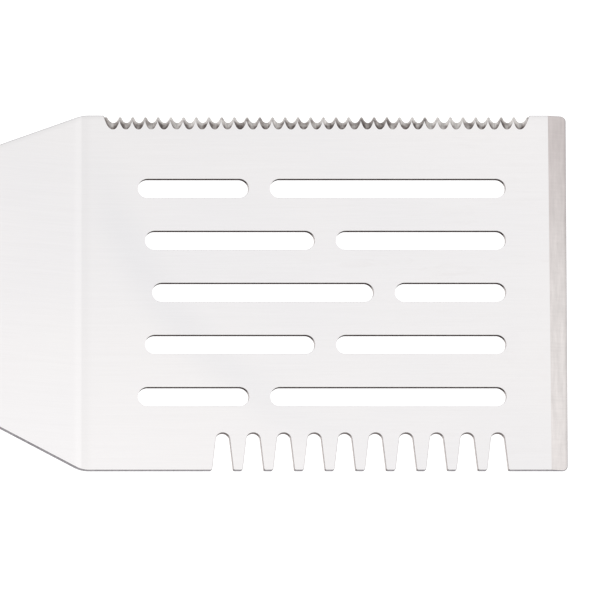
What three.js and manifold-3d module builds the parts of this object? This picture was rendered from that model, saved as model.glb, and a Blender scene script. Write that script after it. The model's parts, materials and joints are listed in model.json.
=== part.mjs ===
// Grill spatula: a one-piece stainless blade (slotted head, bent neck and full tang), two wooden
// handle scales held by three cutlery rivets, and a cast butt cap that carries a swinging hanging ring.
//
// Two frames are used, both in millimetres with +Y towards the serrated side of the head:
//   tool frame    origin on the crease between head and neck, at the head's underside; +X to the front
//                 edge, +Z up from the head, so the head is level and the handle rises behind it
//   handle frame  origin at the front of the scales, on the middle plane of the tang; -X to the butt
// The finished tool is then laid down as it rests on a table, on its heel and its butt, and centred.
import * as THREE from "three";
import { mergeVertices } from "three/addons/utils/BufferGeometryUtils.js";
import Module from "manifold-3d";

const wasm = await Module();
wasm.setup();

const { degToRad } = THREE.MathUtils;

// ---- Driving dimensions, in millimetres and degrees ----

const FIT_GAP = 0.1; // between pieces that touch
const OVERRUN = 1; // how far shapes run past each other where they are joined or cut
const MERGE_DISTANCE = 1e-4; // points closer than this are one point
const ARC_STEP = 15; // degrees turned by each facet of a round corner
const BEND_STEP = 1.5; // the same, for the bends of the sheet
const ROUND_SIDES = 24; // sides of each round pin, rivet and hole

// The sheet: head level, neck rising from the crease, tang flattening out again
const SHEET = 1.8;
const NECK_PITCH = 18;
const HANDLE_PITCH = 3;
const CREASE_RADIUS = 15; // at the middle of the sheet
const SHOULDER_RADIUS = 60;

// The head's outline
const HEAD_LENGTH = 152.4;
const HEAD_WIDTH = 115.4;
const FRONT_CORNER_RADIUS = 1.7;
const HEEL_CORNER_RADIUS = 10;
const NECK_TAPER = 0.457; // half width lost for each millimetre towards the handle
const NECK_FILLET_RADIUS = 60;

// The front edge, ground from above by hand and so a little out of square
const GRIND_RUN = 5.35;
const GRIND_EDGE = 0.45;
const GRIND_SKEW = 0.26;

// The slots: five rows, each split in two by a web that moves forward towards the middle row
const SLOT_WIDTH = 6.2;
const SLOT_ROW_PITCH = 16.95;
const SLOT_FRONT = 133.3;
const SLOT_REAR = 17.7; // rear end of the outer rows
const SLOT_REAR_STEP = 2.25; // how much further forward each row towards the middle starts
const SLOT_WEB = 6.65;
const SLOT_WEB_CENTRES = [55.9, 76.6, 95.1]; // outer rows, next rows, middle row

// The comb: round-topped notches, wider at the mouth
const NOTCH_COUNT = 10;
const NOTCH_PITCH = 9.58;
const NOTCH_FIRST = 44.3;
const NOTCH_DEPTH = 12.1;
const NOTCH_RADIUS = 2.2;
const NOTCH_ROOF = 0.04; // flat left between the two round corners
const NOTCH_FLANK = 6.5; // degrees off square
const TOOTH_CORNER_RADIUS = 0.6;

// The serration: gullets ground from above, deeper towards the top face and leaning a little. Each height
// has the edge curve * |x| ** GULLET_POWER - depth, measured from the edge of the sheet.
const GULLET_COUNT = 33;
const GULLET_PITCH = 4;
const GULLET_FIRST = 9.9;
const GULLET_FACETS = 12;
const GULLET_REACH = 2.7; // half width of the grinding cut
const GULLET_OPEN = 6; // how far the cut stands clear of the edge
const GULLET_POWER = 2.3;
const GULLET_UNDERSIDE = { depth: 1.82, curve: 0.56 };
const GULLET_TOP = { depth: 4.45, curve: 0.6 };
const GULLET_LEAN = 0.2; // how far forward the underside of a gullet lies
const END_FLARE = 1.25; // how much wider the first and last gullets are on their outer sides

// The handle
const SHANK_WIDTH = 26;
const HANDLE_FRONT = 136; // from the crease back to the front of the scales, level
const SCALE_LENGTH = 150;
const HANDLE_LENGTH = 166; // scales and butt cap
const HANDLE_STATIONS = [
  { from_front: 0, half_width: 13, half_height: 8.8 },
  { from_front: 58, half_width: 15, half_height: 9.9 },
  { from_front: 112, half_width: 13.8, half_height: 9 },
  { from_front: HANDLE_LENGTH, half_width: 15.6, half_height: 10.2 },
];
const HANDLE_SQUARENESS = 2.6; // exponent of the superellipse section
const HANDLE_SECTIONS = 26;
const HANDLE_SECTION_SIDES = 32;
const NOSE = { run: 12, blunt: 0.45 }; // rounded front: its length, and the share of height at its face
const BUTT = { run: 8, blunt: 0.72 }; // rounded end of the cap

// Rivets: a headed post pressed into a headed sleeve
const RIVET_STATIONS = [24, 76, 128];
const RIVET_SEAT = 7.2; // seat of each head, from the middle of the tang
const RIVET_HEAD_RADIUS = 4;
const RIVET_SLEEVE_RADIUS = 2.5;
const RIVET_BORE_RADIUS = 1.8;
const RIVET_OVERLAP = 6.4; // how far past the middle each half reaches

// Butt cap, its pin, and the ring
const TENON = { width: 14, length: 11 };
const CAP_PIN_STATION = 156.5;
const CAP_PIN_RADIUS = 1.8;
const LUG = { radius: 4.8, width: 7, reach: 4.4, hole_radius: 2.2 };
const RING_RADIUS = 15.5; // to the middle of the wire
const RING_WIRE_RADIUS = 1.5;
const RING_FACETS = { around_wire: 12, around_ring: 48 };
const RING_FLOOR_GAP = 0.1;

// ---- Solids ----

function solidOf(geometry) {
  const bare = geometry.clone();
  bare.deleteAttribute("normal");
  bare.deleteAttribute("uv");
  const merged = mergeVertices(bare, MERGE_DISTANCE);
  const mesh = new wasm.Mesh({
    numProp: 3,
    vertProperties: new Float32Array(merged.attributes.position.array),
    triVerts: new Uint32Array(merged.index.array),
  });
  return new wasm.Manifold(mesh);
}

function geometryOf(solid) {
  const { vertProperties, triVerts } = solid.getMesh();
  return new THREE.BufferGeometry()
    .setAttribute("position", new THREE.BufferAttribute(vertProperties, 3))
    .setIndex(new THREE.BufferAttribute(triVerts, 1));
}

function part(name, solid, material) {
  const mesh = new THREE.Mesh(geometryOf(solid), material);
  mesh.name = name;
  return mesh;
}

// A box between two corners.
function box(low, high) {
  const size = high.map((value, axis) => value - low[axis]);
  const centre = high.map((value, axis) => (value + low[axis]) / 2);
  return solidOf(new THREE.BoxGeometry(...size).translate(...centre));
}

// A round bar along Z, standing at a station of the handle.
function upright(radius, station, low, high) {
  const bar = new THREE.CylinderGeometry(radius, radius, high - low, ROUND_SIDES);
  bar.rotateX(Math.PI / 2).translate(-station, 0, (low + high) / 2);
  return solidOf(bar);
}

// The outline through corners [x, y, radius], with each radius above zero turned as an arc.
function outline(corners, step = ARC_STEP) {
  const points = [];
  corners.forEach(([x, y, radius], i) => {
    const corner = new THREE.Vector2(x, y);
    if (!radius) {
      points.push(corner);
      return;
    }
    const [px, py] = corners.at(i - 1);
    const [nx, ny] = corners[(i + 1) % corners.length];
    const back = new THREE.Vector2(px, py).sub(corner).normalize();
    const ahead = new THREE.Vector2(nx, ny).sub(corner).normalize();
    const half = Math.acos(THREE.MathUtils.clamp(back.dot(ahead), -1, 1)) / 2;
    const middle = back.clone().add(ahead).normalize();
    const centre = corner.clone().addScaledVector(middle, radius / Math.sin(half));
    const from = corner.clone().addScaledVector(back, radius / Math.tan(half)).sub(centre);
    const turn = (Math.PI - 2 * half) * -Math.sign(back.cross(ahead));
    const facets = Math.max(1, Math.ceil(Math.abs(turn) / degToRad(step)));
    for (let k = 0; k <= facets; k++) {
      points.push(from.clone().rotateAround(new THREE.Vector2(), (turn * k) / facets).add(centre));
    }
  });
  return new THREE.Shape(points);
}

// A shape in plan, standing from one height to another.
function standing(shape, low, high) {
  const geometry = new THREE.ExtrudeGeometry(shape, { depth: high - low, bevelEnabled: false });
  return solidOf(geometry.translate(0, 0, low));
}

// A shape in side view (x, z), running across the tool for a width.
function across(shape, width) {
  const geometry = new THREE.ExtrudeGeometry(shape, { depth: width, bevelEnabled: false });
  return solidOf(geometry.rotateX(Math.PI / 2).translate(0, width / 2, 0));
}

// ---- The sheet in side view ----

const neckRun = (HEAD_WIDTH - SHANK_WIDTH) / 2 / NECK_TAPER;
const neckPitch = degToRad(NECK_PITCH);
const handlePitch = degToRad(HANDLE_PITCH);
const crease = new THREE.Vector2(0, SHEET / 2);
const front = new THREE.Vector2(HEAD_LENGTH, SHEET / 2);
const shoulder = new THREE.Vector2(-neckRun, SHEET / 2 + neckRun * Math.tan(neckPitch));

// Height of the tang's middle plane above the head's underside, behind the shoulder.
const tangHeight = (x) => shoulder.y + (shoulder.x - x) * Math.tan(handlePitch);

const handleFrame = new THREE.Group();
handleFrame.position.set(-HANDLE_FRONT, 0, tangHeight(-HANDLE_FRONT));
handleFrame.rotation.y = handlePitch;
handleFrame.updateMatrix();

function sheetSide() {
  const end = new THREE.Vector3(-SCALE_LENGTH - TENON.length, 0, 0).applyMatrix4(handleFrame.matrix);
  const path = [front, crease, shoulder, new THREE.Vector2(end.x, end.z)];
  const pitches = [0, 0, neckPitch, handlePitch];
  // Each face follows the path at half the sheet's thickness, mitred where the pitch changes.
  const face = (side) =>
    path.map((point, i) => {
      const before = pitches[i];
      const after = pitches[i + 1] ?? before;
      const mean = (before + after) / 2;
      const reach = (side * SHEET) / 2 / Math.cos((after - before) / 2);
      const bend = after - before;
      const radius = i === 1 ? CREASE_RADIUS : SHOULDER_RADIUS;
      const rounded = i === 1 || i === 2 ? radius - side * Math.sign(bend) * (SHEET / 2) : 0;
      return [point.x + reach * Math.sin(mean), point.y + reach * Math.cos(mean), rounded];
    });
  return outline([...face(-1), ...face(1).reverse()], BEND_STEP);
}

// ---- The head ----

function notchCorners() {
  const edge = -HEAD_WIDTH / 2;
  const slope = Math.tan(degToRad(NOTCH_FLANK));
  const roof = NOTCH_RADIUS / Math.tan(degToRad(90 + NOTCH_FLANK) / 2) + NOTCH_ROOF / 2;
  const mouth = roof + NOTCH_DEPTH * slope;
  return Array.from({ length: NOTCH_COUNT }, (_, i) => {
    const x = NOTCH_FIRST + i * NOTCH_PITCH;
    return [
      [x - mouth, edge, TOOTH_CORNER_RADIUS],
      [x - roof, edge + NOTCH_DEPTH, NOTCH_RADIUS],
      [x + roof, edge + NOTCH_DEPTH, NOTCH_RADIUS],
      [x + mouth, edge, TOOTH_CORNER_RADIUS],
    ];
  }).flat();
}

function bladePlan() {
  const half = HEAD_WIDTH / 2;
  const shank = SHANK_WIDTH / 2;
  const end = -HANDLE_FRONT - OVERRUN; // hidden between the scales
  return outline([
    [end, shank, 0],
    [end, -shank, 0],
    [-neckRun, -shank, NECK_FILLET_RADIUS],
    [0, -half, HEEL_CORNER_RADIUS],
    ...notchCorners(),
    [HEAD_LENGTH, -half, FRONT_CORNER_RADIUS],
    [HEAD_LENGTH, half, FRONT_CORNER_RADIUS],
    [0, half, HEEL_CORNER_RADIUS],
    [-neckRun, shank, NECK_FILLET_RADIUS],
  ]);
}

function slot(rear, ahead, y) {
  const r = SLOT_WIDTH / 2;
  const shape = outline([
    [rear, y - r, r],
    [ahead, y - r, r],
    [ahead, y + r, r],
    [rear, y + r, r],
  ]);
  return standing(shape, -SHEET, 2 * SHEET);
}

function slots() {
  const cuts = [];
  for (let row = -2; row <= 2; row++) {
    const inward = 2 - Math.abs(row);
    const web = SLOT_WEB_CENTRES[inward];
    const y = row * SLOT_ROW_PITCH;
    cuts.push(slot(SLOT_REAR + inward * SLOT_REAR_STEP, web - SLOT_WEB / 2, y));
    cuts.push(slot(web + SLOT_WEB / 2, SLOT_FRONT, y));
  }
  return cuts;
}

// One gullet's cut: a bar with one faceted side, each point of which is then moved to the curve of its own
// height. Its rear and front sides may be flared.
function gullet(x, rearFlare, frontFlare) {
  const shape = new THREE.Shape([
    new THREE.Vector2(GULLET_REACH, GULLET_OPEN),
    new THREE.Vector2(-GULLET_REACH, GULLET_OPEN),
  ]);
  for (let k = 0; k <= GULLET_FACETS; k++) {
    shape.lineTo(THREE.MathUtils.lerp(-GULLET_REACH, GULLET_REACH, k / GULLET_FACETS), 0);
  }
  const cut = new THREE.ExtrudeGeometry(shape, { depth: 2 * SHEET, bevelEnabled: false });
  cut.translate(0, 0, -SHEET / 2);
  const position = cut.attributes.position;
  for (let i = 0; i < position.count; i++) {
    if (position.getY(i) > 0) continue;
    const offset = position.getX(i);
    const flare = offset < 0 ? rearFlare : frontFlare;
    const height = position.getZ(i) / SHEET;
    const depth = THREE.MathUtils.lerp(GULLET_UNDERSIDE.depth, GULLET_TOP.depth, height);
    const curve = THREE.MathUtils.lerp(GULLET_UNDERSIDE.curve, GULLET_TOP.curve, height);
    position.setY(i, curve * Math.abs(offset) ** GULLET_POWER - depth);
    position.setX(i, offset * flare + GULLET_LEAN * (1 - height));
  }
  return solidOf(cut.translate(x, HEAD_WIDTH / 2, 0));
}

// What the grinding wheel takes off above the front edge.
function frontGrind() {
  const slope = (SHEET - GRIND_EDGE) / GRIND_RUN;
  const shape = new THREE.Shape([
    new THREE.Vector2(-GRIND_RUN - OVERRUN, SHEET + OVERRUN * slope),
    new THREE.Vector2(OVERRUN, GRIND_EDGE - OVERRUN * slope),
    new THREE.Vector2(OVERRUN, SHEET + OVERRUN),
  ]);
  const geometry = new THREE.ExtrudeGeometry(shape, { depth: 2 * HEAD_WIDTH, bevelEnabled: false });
  geometry.rotateX(Math.PI / 2).translate(0, HEAD_WIDTH, 0);
  return solidOf(geometry.rotateZ(degToRad(GRIND_SKEW)).translate(HEAD_LENGTH, 0, 0));
}

// ---- The handle ----

// Half width and half height of the handle at a distance from its front, easing between stations.
function handleSize(distance) {
  const next = Math.max(1, HANDLE_STATIONS.findIndex((station) => station.from_front >= distance));
  const [a, b] = [HANDLE_STATIONS[next - 1], HANDLE_STATIONS[next]];
  const share = THREE.MathUtils.smoothstep(distance, a.from_front, b.from_front);
  const rounded = (inside, end) => {
    const reach = THREE.MathUtils.clamp(inside / end.run, 0, 1);
    return end.blunt + (1 - end.blunt) * Math.sqrt(1 - (1 - reach) ** 2);
  };
  const butt = rounded(HANDLE_LENGTH - distance, BUTT);
  return {
    half_width: THREE.MathUtils.lerp(a.half_width, b.half_width, share) * butt,
    half_height: THREE.MathUtils.lerp(a.half_height, b.half_height, share) * butt * rounded(distance, NOSE),
  };
}

// The whole handle as one block, from which scales, tang, cap and rivet heads take their outer faces.
function handleBlock() {
  const positions = [];
  const faces = [];
  const n = HANDLE_SECTION_SIDES;
  const bow = (value) => Math.sign(value) * Math.abs(value) ** (2 / HANDLE_SQUARENESS);
  for (let i = 0; i < HANDLE_SECTIONS; i++) {
    // Sections crowd towards both ends, where the handle is rounded.
    const distance = (HANDLE_LENGTH * (1 - Math.cos((Math.PI * i) / (HANDLE_SECTIONS - 1)))) / 2;
    const { half_width, half_height } = handleSize(distance);
    for (let k = 0; k < n; k++) {
      const angle = (2 * Math.PI * k) / n;
      positions.push(-distance, half_width * bow(Math.cos(angle)), half_height * bow(Math.sin(angle)));
      const [a, b] = [i * n + k, i * n + ((k + 1) % n)];
      if (i > 0) faces.push(a, b, a - n, b, b - n, a - n);
    }
  }
  const last = (HANDLE_SECTIONS - 1) * n;
  for (let k = 1; k < n - 1; k++) {
    faces.push(0, k, k + 1, last, last + k + 1, last + k);
  }
  return solidOf(
    new THREE.BufferGeometry()
      .setAttribute("position", new THREE.Float32BufferAttribute(positions, 3))
      .setIndex(faces),
  );
}

const WIDE = 30; // reaches past the handle on every side
const block = handleBlock();
const scaleBlock = block.intersect(box([FIT_GAP - SCALE_LENGTH, -WIDE, -WIDE], [WIDE, WIDE, WIDE]));
const capBlock = block.intersect(box([-HANDLE_LENGTH - WIDE, -WIDE, -WIDE], [-SCALE_LENGTH, WIDE, WIDE]));

function scale(side) {
  const low = SHEET / 2 + FIT_GAP;
  const [bottom, top] = side > 0 ? [low, WIDE] : [-WIDE, -low];
  let wood = scaleBlock.intersect(box([-SCALE_LENGTH, -WIDE, bottom], [0, WIDE, top]));
  for (const station of RIVET_STATIONS) {
    const seat = RIVET_SEAT - FIT_GAP;
    const heights = side > 0 ? [seat, WIDE] : [-WIDE, -seat];
    wood = wood
      .subtract(upright(RIVET_SLEEVE_RADIUS + FIT_GAP, station, -WIDE, WIDE))
      .subtract(upright(RIVET_HEAD_RADIUS + FIT_GAP, station, ...heights));
  }
  return wood;
}

function rivetPost(station) {
  const head = upright(RIVET_HEAD_RADIUS, station, RIVET_SEAT, WIDE).intersect(block);
  return head.add(upright(RIVET_BORE_RADIUS - FIT_GAP, station, -RIVET_OVERLAP, RIVET_SEAT + OVERRUN));
}

function rivetSleeve(station) {
  const head = upright(RIVET_HEAD_RADIUS, station, -WIDE, -RIVET_SEAT).intersect(block);
  return head
    .add(upright(RIVET_SLEEVE_RADIUS, station, -RIVET_SEAT - OVERRUN, RIVET_OVERLAP))
    .subtract(upright(RIVET_BORE_RADIUS, station, -RIVET_OVERLAP - FIT_GAP, WIDE));
}

function buttCap() {
  const lugCentre = -HANDLE_LENGTH - LUG.reach;
  const tongue = outline([
    [OVERRUN - HANDLE_LENGTH, -LUG.radius, 0],
    [lugCentre - LUG.radius, -LUG.radius, LUG.radius],
    [lugCentre - LUG.radius, LUG.radius, LUG.radius],
    [OVERRUN - HANDLE_LENGTH, LUG.radius, 0],
  ]);
  const hole = new THREE.CylinderGeometry(LUG.hole_radius, LUG.hole_radius, 2 * LUG.width, ROUND_SIDES);
  const half = TENON.width / 2 + FIT_GAP;
  const slit = SHEET / 2 + FIT_GAP;
  return capBlock
    .add(across(tongue, LUG.width))
    .subtract(solidOf(hole.translate(lugCentre, 0, 0)))
    .subtract(box([-SCALE_LENGTH - TENON.length - FIT_GAP, -half, -slit], [0, half, slit]))
    .subtract(upright(CAP_PIN_RADIUS + FIT_GAP, CAP_PIN_STATION, -WIDE, WIDE));
}

function capPin() {
  return upright(CAP_PIN_RADIUS, CAP_PIN_STATION, -WIDE, WIDE).intersect(block);
}

// ---- The blade: head, neck and tang in one sheet ----

function blade() {
  const inTool = (solid) => solidOf(geometryOf(solid).applyMatrix4(handleFrame.matrix));
  const tenon = box(
    [-SCALE_LENGTH - TENON.length, -TENON.width / 2, -SHEET],
    [-SCALE_LENGTH + OVERRUN, TENON.width / 2, SHEET],
  );
  const plan = standing(bladePlan(), -WIDE, 3 * WIDE).add(inTool(scaleBlock)).add(inTool(tenon));
  let sheet = across(sheetSide(), 2 * HEAD_WIDTH).intersect(plan).subtract(frontGrind());
  for (const cut of slots()) {
    sheet = sheet.subtract(cut);
  }
  for (let i = 0; i < GULLET_COUNT; i++) {
    const rearFlare = i === 0 ? END_FLARE : 1;
    const frontFlare = i === GULLET_COUNT - 1 ? END_FLARE : 1;
    sheet = sheet.subtract(gullet(GULLET_FIRST + i * GULLET_PITCH, rearFlare, frontFlare));
  }
  for (const station of RIVET_STATIONS) {
    sheet = sheet.subtract(inTool(upright(RIVET_SLEEVE_RADIUS + FIT_GAP, station, -WIDE, WIDE)));
  }
  return sheet.subtract(inTool(upright(CAP_PIN_RADIUS + FIT_GAP, CAP_PIN_STATION, -WIDE, WIDE)));
}

// ---- Assembly ----

const brushedSteel = new THREE.MeshStandardMaterial({ color: "#dedbda", roughness: 0.35, metalness: 1 });
const satinSteel = new THREE.MeshStandardMaterial({ color: "#c9c7c4", roughness: 0.25, metalness: 1 });
const walnut = new THREE.MeshStandardMaterial({ color: "#5b3822", roughness: 0.5, metalness: 0 });

const TILT_ROUNDS = 6; // each settles the tilt and the heel's point of contact further

// The tilt that brings the butt down to the table while the heel's bend stays on it.
function restTilt(meshes) {
  const heelRadius = CREASE_RADIUS + SHEET / 2;
  const behind = [];
  for (const mesh of meshes) {
    mesh.updateWorldMatrix(true, false);
    const position = mesh.geometry.attributes.position;
    for (let i = 0; i < position.count; i++) {
      const point = new THREE.Vector3().fromBufferAttribute(position, i).applyMatrix4(mesh.matrixWorld);
      if (point.x < -HANDLE_FRONT) behind.push(point);
    }
  }
  let tilt = 0;
  for (let round = 0; round < TILT_ROUNDS; round++) {
    const heelX = heelRadius * (Math.tan(neckPitch / 2) - Math.sin(tilt));
    const heelZ = heelRadius * (1 - Math.cos(tilt));
    tilt = Math.min(...behind.map((point) => Math.atan2(point.z - heelZ, heelX - point.x)));
  }
  return tilt;
}

function assemble() {
  const tool = new THREE.Group();
  tool.add(part("blade", blade(), brushedSteel));
  tool.add(handleFrame);
  handleFrame.add(part("scale_top", scale(1), walnut));
  handleFrame.add(part("scale_bottom", scale(-1), walnut));
  RIVET_STATIONS.forEach((station, i) => {
    handleFrame.add(part(`rivet_post_${i + 1}`, rivetPost(station), satinSteel));
    handleFrame.add(part(`rivet_sleeve_${i + 1}`, rivetSleeve(station), satinSteel));
  });
  handleFrame.add(part("butt_cap", buttCap(), satinSteel));
  handleFrame.add(part("cap_pin", capPin(), satinSteel));
  const ringPivot = new THREE.Object3D();
  ringPivot.position.x = -HANDLE_LENGTH - LUG.reach;
  handleFrame.add(ringPivot);

  tool.rotation.y = -restTilt([tool.children[0], ...handleFrame.children.filter((c) => c.isMesh)]);
  tool.position.z = -new THREE.Box3().setFromObject(tool, true).min.z;
  tool.updateMatrixWorld(true);

  // The ring drops from the lug until its far side lies on the table.
  const pivot = ringPivot.getWorldPosition(new THREE.Vector3());
  const drop = Math.asin((pivot.z - RING_WIRE_RADIUS - RING_FLOOR_GAP) / (2 * RING_RADIUS));
  const { around_wire, around_ring } = RING_FACETS;
  const wire = new THREE.TorusGeometry(RING_RADIUS, RING_WIRE_RADIUS, around_wire, around_ring);
  wire.translate(-RING_RADIUS, 0, 0);
  const ring = part("hanging_ring", solidOf(wire), satinSteel);
  ring.position.copy(pivot);
  ring.rotation.y = -drop;

  const spatula = new THREE.Group();
  spatula.add(tool, ring);
  const centre = new THREE.Box3().setFromObject(spatula, true).getCenter(new THREE.Vector3());
  tool.position.x -= centre.x;
  ring.position.x -= centre.x;
  return spatula;
}

export default assemble();
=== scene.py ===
"""Grill spatula: finished surfaces, materials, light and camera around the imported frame.

Lengths are in millimetres until a mesh is made, and MM turns them into metres. The flat blade is drawn
in the tool frame, whose origin is on the crease between head and neck with +X to the front edge, and is
then bent and laid down as the frame's mounts say. The handle frame has its origin at the front of the
wooden scales, on the middle plane of the tang, with the butt along -X. Noise scales are in cycles per metre.
"""

import json
from math import asin, atan2, ceil, copysign, cos, pi, radians, sin, sqrt, tan

import bmesh
import bpy
from mathutils import Matrix, Vector
from mathutils.geometry import tessellate_polygon


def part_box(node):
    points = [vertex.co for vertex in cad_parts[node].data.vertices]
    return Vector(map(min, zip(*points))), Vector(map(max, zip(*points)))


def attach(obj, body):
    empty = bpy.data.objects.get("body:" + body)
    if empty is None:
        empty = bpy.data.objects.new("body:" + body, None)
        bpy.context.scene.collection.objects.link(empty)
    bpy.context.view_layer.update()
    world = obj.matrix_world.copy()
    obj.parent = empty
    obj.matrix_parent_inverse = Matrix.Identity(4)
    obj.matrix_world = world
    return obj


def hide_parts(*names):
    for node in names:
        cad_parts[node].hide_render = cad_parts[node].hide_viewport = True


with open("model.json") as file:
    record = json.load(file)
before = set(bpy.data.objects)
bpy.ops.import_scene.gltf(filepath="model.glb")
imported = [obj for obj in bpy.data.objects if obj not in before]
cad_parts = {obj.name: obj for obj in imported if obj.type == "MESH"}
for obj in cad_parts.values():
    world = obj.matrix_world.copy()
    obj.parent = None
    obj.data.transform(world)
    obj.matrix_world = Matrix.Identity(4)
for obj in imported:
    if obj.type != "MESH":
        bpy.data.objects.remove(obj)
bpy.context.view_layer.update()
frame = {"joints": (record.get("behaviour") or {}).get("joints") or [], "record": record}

MM = 0.001
BODY = "spatula"
RING_BODY = "ring"

# ---- Sizes shared with the frame's solids ----

SHEET = 1.8
NECK_PITCH = radians(18)
HANDLE_PITCH = radians(3)
CREASE_RADIUS = 15
SHOULDER_RADIUS = 60

HEAD_LENGTH = 152.4
HEAD_WIDTH = 115.4
FRONT_CORNER_RADIUS = 1.7
HEEL_CORNER_RADIUS = 10
NECK_TAPER = 0.457
NECK_FILLET_RADIUS = 60
SHANK_WIDTH = 26
NECK_RUN = (HEAD_WIDTH - SHANK_WIDTH) / 2 / NECK_TAPER

GRIND_RUN = 5.35
GRIND_EDGE = 0.45
GRIND_SKEW = radians(0.26)

SLOT_WIDTH = 6.2
SLOT_ROW_PITCH = 16.95
SLOT_FRONT = 133.3
SLOT_REAR = 17.7
SLOT_REAR_STEP = 2.25
SLOT_WEB = 6.65
SLOT_WEB_CENTRES = (55.9, 76.6, 95.1)

NOTCH_COUNT = 10
NOTCH_PITCH = 9.58
NOTCH_FIRST = 44.3
NOTCH_DEPTH = 12.1
NOTCH_RADIUS = 2.2
NOTCH_ROOF = 0.04  # flat left between the two round corners
NOTCH_FLANK = radians(6.5)
TOOTH_CORNER_RADIUS = 0.6
COMB_MARGIN = 1  # past the notches' roofs, still well short of the slots

GULLET_COUNT = 33
GULLET_PITCH = 4
GULLET_FIRST = 9.9
GULLET_LAST = GULLET_FIRST + (GULLET_COUNT - 1) * GULLET_PITCH
GULLET_POWER = 2.3
GULLET_UNDERSIDE = (1.82, 0.56)  # depth and curve
GULLET_TOP = (4.45, 0.6)
GULLET_LEAN = 0.2
END_FLARE = 1.25  # how much wider the first and last gullets are on their outer sides

FIT_GAP = 0.1
HANDLE_FRONT = 136
SCALE_LENGTH = 150
HANDLE_LENGTH = 166
HANDLE_STATIONS = ((0, 13, 8.8), (58, 15, 9.9), (112, 13.8, 9), (HANDLE_LENGTH, 15.6, 10.2))
HANDLE_SQUARENESS = 2.6
NOSE = (12, 0.45)  # length of the rounding, and the share of the size left at the end
BUTT = (8, 0.705)  # a shade rounder than the solid's 0.72, so that the ring swings clear of the smooth cap

RIVET_STATIONS = (24, 76, 128)
RIVET_SEAT = 7.2
RIVET_HEAD_RADIUS = 4
RIVET_SLEEVE_RADIUS = 2.5
RIVET_BORE_RADIUS = 1.8
RIVET_OVERLAP = 6.4

TENON_WIDTH = 14
TENON_LENGTH = 11
CAP_PIN_STATION = 156.5
CAP_PIN_RADIUS = 1.8
LUG_RADIUS = 4.8
LUG_WIDTH = 7
LUG_REACH = 4.4
LUG_HOLE_RADIUS = 2.2
RING_RADIUS = 15.5
RING_WIRE_RADIUS = 1.5

# ---- Fineness of the finished meshes, and the small softened edges ----

ARC_STEP = radians(5)
LEAST_MITRE = 0.5  # keeps the inset of a sharp corner to twice that of a straight edge
CUT_TOLERANCE = 1e-5
BEND_CUTS = 12
GULLET_SAMPLES = 20
FLARE_SAMPLES = 5
NOSE_SAMPLES = 16
BODY_SAMPLES = 60
TANG_SAMPLES = 40
CROWN_SAMPLES = 28
SECTION_SIDES = 128
TURNED_SIDES = 48
HEAD_RINGS = (0.02, 0.25, 0.5, 0.75)  # shares of a rivet head's radius
PIN_RINGS = (0.02, 0.5)  # shares of the cap pin's radius
CAP_CUTS = {"straight": 6, "rounding": 12, "fillet": 8, "lug": 24}
RING_STEPS = 180
WIRE_SIDES = 28
SHARP_ANGLE = radians(50)
CLEAR = HEAD_WIDTH  # far enough to pass right through the handle
QUARTER_ROUND = 1 - sqrt(0.5)  # how far in the middle of a softened edge lies, as a share of its radius

EDGE_ROUNDING = 0.1
SCALE_ROUNDING = 0.35
JOINT_ROUNDING = 0.12
HEAD_ROUNDING = 0.2
PIN_ROUNDING = 0.15
CAP_FILLET = 1.2
LUG_SQUARENESS = 7
TANG_CLEARANCE = SHEET / 2 + FIT_GAP
WELD_DEPTH = 0.12
WELD_WIDTH = 0.5
WELD_STEEPNESS = 4
PUNCH_LEAN = 0.28  # how far back the punch left the foot of each slot and notch

# ---- Marks and painted light on the blade's surfaces, and where they lie on the flat sheet ----

PAINTED_CREASE_REACH = 6  # each side of the crease, the reach of the painted light and dark reflection bands
RIM = 1.6  # the darker band along the far edge
BLOTCH = 0.5  # how far a dark patch spreads down a gullet, as a share of the wall
BRIGHTEST = 0.55  # how much less painted shade a gullet has between its two dark streaks
STREAK_AHEAD = 0.18  # how far ahead of its middle a gullet starts to darken, as a share of half its width
PAINTED_REFLECTION_FADE_X = (140, -15)
PAINTED_SHADE_CENTRE = (125.5, 68)
PAINTED_SHADE_RADIUS = 122.6
PAINTED_SHADE_REACH = 11  # how far the painted shade spreads each side of its arc
PAINTED_SHADE_FADE_X = (50, 95)
PAINTED_SHADE_FADE_Y = (25, 50)
WATER_MARK_X = (75, 100)
WATER_MARK_Y = (2, SLOT_ROW_PITCH)

# ---- Where the tool lies ----


def mount(name):
    return next(m for m in frame["record"]["mounts"] if m["name"] == name)


HEAD_TOP_X = 9  # the mount's place on the head's upper face
head_top = mount("head_top")
TILT = atan2(-head_top["axis"][0], head_top["axis"][2])
tilt_turn = Matrix.Rotation(-TILT, 4, "Y")
TOOL = Matrix.Translation(
    Vector(head_top["pos_m"]) - tilt_turn @ (Vector((HEAD_TOP_X, 0, SHEET)) * MM)
) @ tilt_turn

ring_swing = next(j for j in frame["joints"] if j["name"] == "ring_swing")
PIVOT = Vector(ring_swing["pos_m"])
HANDLE = (
    Matrix.Translation(PIVOT)
    @ Matrix.Rotation(HANDLE_PITCH - TILT, 4, "Y")
    @ Matrix.Translation(Vector(((HANDLE_LENGTH + LUG_REACH) * MM, 0, 0)))
)

# ---- Mesh helpers ----


def finish_piece(name, bm, matrix, materials, replaced, body=BODY):
    """Turns millimetres in a local frame into a piece in the row frame that stands for CAD nodes."""
    bmesh.ops.transform(bm, matrix=matrix @ Matrix.Scale(MM, 4), verts=bm.verts)
    mesh = bpy.data.meshes.new(name)
    bm.to_mesh(mesh)
    bm.free()
    for material in materials:
        mesh.materials.append(material)
    mesh.shade_smooth()
    mesh.set_sharp_from_angle(angle=SHARP_ANGLE)
    piece = bpy.data.objects.new(name, mesh)
    bpy.context.scene.collection.objects.link(piece)
    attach(piece, body)
    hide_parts(*replaced)
    return piece


def weigh_normals(piece):
    """Keeps flat faces flat beside their rounded edges."""
    modifier = piece.modifiers.new("flat faces", "WEIGHTED_NORMAL")
    modifier.mode = "FACE_AREA"
    modifier.keep_sharp = True


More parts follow.
